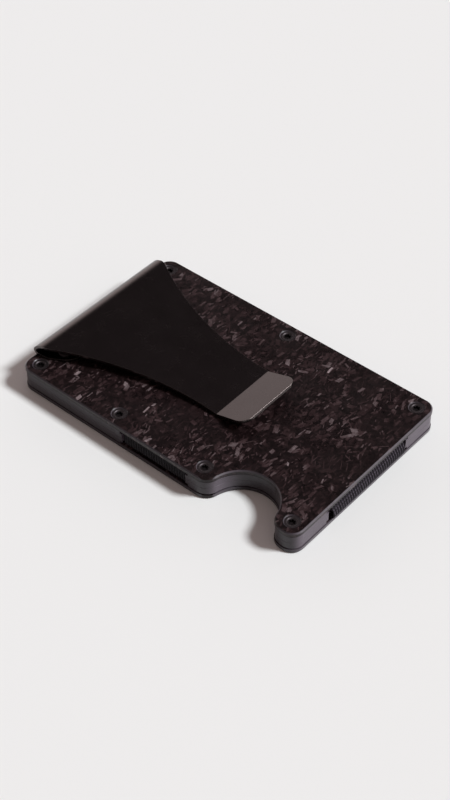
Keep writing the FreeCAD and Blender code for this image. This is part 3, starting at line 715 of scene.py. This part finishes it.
def make_clip(material):
    """One bent sheet: the leg, the fold, the waisted blade and the raised lip."""
    bm = bmesh.new()
    # side view of the outer face, from the leg's end round the fold to the lip's end
    tip = bm.verts.new((LEG_END, 0, COVER_TOP))
    straight = LEG_END - CURL.x - LEG_CORNER
    leg_steps = corner_steps(LEG_CORNER, 8) + [straight / 4] * 4
    tip = run_on(bm, tip, Vector((-1, 0, 0)), leg_steps)
    tip = turn_on(bm, tip, CURL, CURL_ANGLE, 24)
    tip = turn_on(bm, tip, CROWN, math.pi + DROP - CURL_ANGLE, 24)
    falling = Vector((math.cos(DROP), 0, -math.sin(DROP)))
    rising = Vector((math.cos(RISE), 0, math.sin(RISE)))
    bend = BEND_RADIUS * math.tan((DROP + RISE) / 2)
    long_run = (BEND_X - tip.co.x) / math.cos(DROP) - bend
    tip = run_on(bm, tip, falling, [long_run / 60] * 60)
    above = tip.co + Vector((math.sin(DROP), 0, math.cos(DROP))) * BEND_RADIUS
    tip = turn_on(bm, tip, above, -(DROP + RISE), 8)
    lip_run = (LIP_END - tip.co.x) / math.cos(RISE)
    lip_steps = corner_steps(LIP_CORNER, 10)[::-1]
    tip = run_on(bm, tip, rising, [(lip_run - LIP_CORNER) / 6] * 6 + lip_steps)
    widths = {}
    for v in bm.verts:
        width = clip_half_width(v.co.x)
        if v.co.z < COVER_TOP + 0.001:
            width -= corner_cut(LEG_END - v.co.x, LEG_CORNER)
        elif v.co.x > BEND_X + 1:
            width -= corner_cut((tip.co.x - v.co.x) / math.cos(RISE), LIP_CORNER)
        widths[side_place(v)] = width
    # half of the sheet, then its mirror image and its thickness
    made = bmesh.ops.extrude_edge_only(bm, edges=bm.edges[:])["geom"]
    for v in made:
        if isinstance(v, bmesh.types.BMVert):
            v.co.y = widths[side_place(v)]
    bmesh.ops.mirror(
        bm, geom=bm.verts[:] + bm.edges[:] + bm.faces[:], axis="Y", merge_dist=0.0001
    )
    face_out(bm)
    bmesh.ops.solidify(bm, geom=bm.faces[:], thickness=SHEET)
    bmesh.ops.recalc_face_normals(bm, faces=bm.faces[:])
    # the sheet's edges are rounded a little
    rim = [e for e in bm.edges if e.is_manifold and e.calc_face_angle() > 1.2]
    bmesh.ops.bevel(
        bm, geom=rim, offset=0.18, offset_type="OFFSET", affect="EDGES", segments=4,
        profile=0.5, material=-1, clamp_overlap=True,
    )
    bmesh.ops.scale(bm, vec=(MM, MM, MM), verts=bm.verts[:])
    clip = add_piece("clip_sheet", bm)
    finish_piece(clip, material)
    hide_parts("clip_leg", "clip_blade")
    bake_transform(clip)


# ---------------------------------------------------------------- elastics

BAND = 0.74
BAND_LOW, BAND_HIGH = 1.18, 5.42
BAND_CORNER = 0.7
RIB, RIB_DEPTH, RIB_STEPS = 0.8, 0.14, 8
END_FACE, END_WIDTH = 42.50, 27.0
FRONT_FACE, FRONT_START, FRONT_WIDTH, FLAP_END = -26.15, -8.85, 19.2, -18.8


def rib_line(bm, start, way, length):
    """A line across the elastic that rises over each rib, at the elastic's outer face."""
    steps = round(length / RIB) * RIB_STEPS
    tip = bm.verts.new(start)
    line = [tip]
    for _ in range(steps):
        tip = run_on(bm, tip, way, [length / steps])
        line.append(tip)
    for k, v in enumerate(line):
        v.co.z -= RIB_DEPTH * (1 - abs(math.sin(math.pi * k / RIB_STEPS)) ** 0.7)
    return [e for v in line for e in v.link_edges if e.verts[0] is v]


def slack(bm, axis, start, bulge):
    """Bows the elastic outwards where it crosses the slot, as it does with no cards in it."""
    for v in bm.verts:
        if abs(v.co[axis]) > start:
            share = (v.co.z - BAND_LOW) / (BAND_HIGH - BAND_LOW)
            share = min(max(share, 0.0), 1.0)
            v.co[axis] += math.copysign(bulge * math.sin(math.pi * share**0.65), v.co[axis])


def sweep(bm, edges, way, steps):
    """Pulls a line of edges along, in equal steps, and returns its far end."""
    for _ in range(steps):
        made = bmesh.ops.extrude_edge_only(bm, edges=edges)["geom"]
        bmesh.ops.translate(
            bm, vec=way / steps, verts=[g for g in made if isinstance(g, bmesh.types.BMVert)]
        )
        edges = [g for g in made if isinstance(g, bmesh.types.BMEdge)]
    return edges


def sweep_round(bm, edges, centre, axis):
    """Pulls a line of edges round a quarter turn."""
    made = bmesh.ops.spin(
        bm, geom=edges, cent=centre, axis=axis, dvec=(0, 0, 0), angle=math.pi / 2, steps=5
    )
    return [g for g in made["geom_last"] if isinstance(g, bmesh.types.BMEdge)]


def map_weave(bm, across):
    """Lays the weave on the elastic: across it, and on along it from run to run."""
    weave = bm.loops.layers.uv.new("weave")
    for face in bm.faces:
        for loop in face.loops:
            x, y, z = loop.vert.co
            along = z + (y if across == 0 else x)
            loop[weave].uv = ((x, y)[across] * MM, along * MM)


def make_band(name, bm, across, material, node):
    """Gives the swept ribs their thickness, weave and place between the halves."""
    bmesh.ops.remove_doubles(bm, verts=bm.verts[:], dist=0.001)
    face_out(bm)
    bmesh.ops.solidify(bm, geom=bm.faces[:], thickness=BAND - RIB_DEPTH)
    bmesh.ops.recalc_face_normals(bm, faces=bm.faces[:])
    map_weave(bm, across)
    bmesh.ops.scale(bm, vec=(MM, MM, MM), verts=bm.verts[:])
    band = add_piece(name, bm)
    finish_piece(band, material)
    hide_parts(node)
    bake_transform(band)


def make_end_elastic(material):
    """A closed loop of ribbed elastic round both ends."""
    bm = bmesh.new()
    inner = END_FACE - BAND_CORNER
    high, low = BAND_HIGH - BAND_CORNER, BAND_LOW + BAND_CORNER
    line = rib_line(bm, (0, -END_WIDTH / 2, BAND_HIGH), Vector((0, 1, 0)), END_WIDTH)
    line = sweep(bm, line, Vector((inner, 0, 0)), 2)
    line = sweep_round(bm, line, (inner, 0, high), (0, 1, 0))
    line = sweep(bm, line, Vector((0, 0, low - high)), 8)
    line = sweep_round(bm, line, (inner, 0, low), (0, 1, 0))
    line = sweep(bm, line, Vector((-2 * inner, 0, 0)), 4)
    line = sweep_round(bm, line, (-inner, 0, low), (0, 1, 0))
    line = sweep(bm, line, Vector((0, 0, high - low)), 8)
    line = sweep_round(bm, line, (-inner, 0, high), (0, 1, 0))
    sweep(bm, line, Vector((inner, 0, 0)), 2)
    slack(bm, 0, inner + 0.01, 0.95)
    make_band("end_elastic", bm, 1, material, "end_band")


def make_front_elastic(material):
    """A short ribbed elastic: a web in the front slot between two flaps under the covers."""
    bm = bmesh.new()
    inner = FRONT_FACE + BAND_CORNER
    high, low = BAND_HIGH - BAND_CORNER, BAND_LOW + BAND_CORNER
    line = rib_line(bm, (FRONT_START, FLAP_END, BAND_HIGH), Vector((1, 0, 0)), FRONT_WIDTH)
    line = sweep(bm, line, Vector((0, inner - FLAP_END, 0)), 3)
    line = sweep_round(bm, line, (0, inner, high), (1, 0, 0))
    line = sweep(bm, line, Vector((0, 0, low - high)), 8)
    line = sweep_round(bm, line, (0, inner, low), (1, 0, 0))
    sweep(bm, line, Vector((0, FLAP_END - inner, 0)), 3)
    slack(bm, 1, -inner + 0.01, 0.3)
    make_band("front_elastic", bm, 0, material, "front_band")


# ---------------------------------------------------------------- the whole holder


def finish_node(name, material):
    """Gives a part of the frame its material."""
    for slot in nodes[name].material_slots:
        slot.material = material


def main():
    make_camera()
    make_floor()
    make_studio()
    chip_layer = make_chip_layer()
    plate_edge = make_plate_edge()
    handling = make_handling()
    nearest_screw = make_nearest_screw()
    composite = make_forged_composite(chip_layer, plate_edge, nearest_screw, handling)
    anodised = make_anodised_frame(handling)
    blackened = make_turned_steel(nearest_screw, handling)
    for name in ("upper_cover", "lower_cover"):
        finish_node(name, composite)
    for name in ("upper_frame", "lower_frame"):
        finish_node(name, anodised)
    for name in ("upper_screws", "lower_screws", "clip_screws"):
        finish_node(name, blackened)
    make_clip(make_black_steel(handling))
    elastic = make_woven_elastic()
    make_end_elastic(elastic)
    make_front_elastic(elastic)
    bpy.context.view_layer.update()


main()
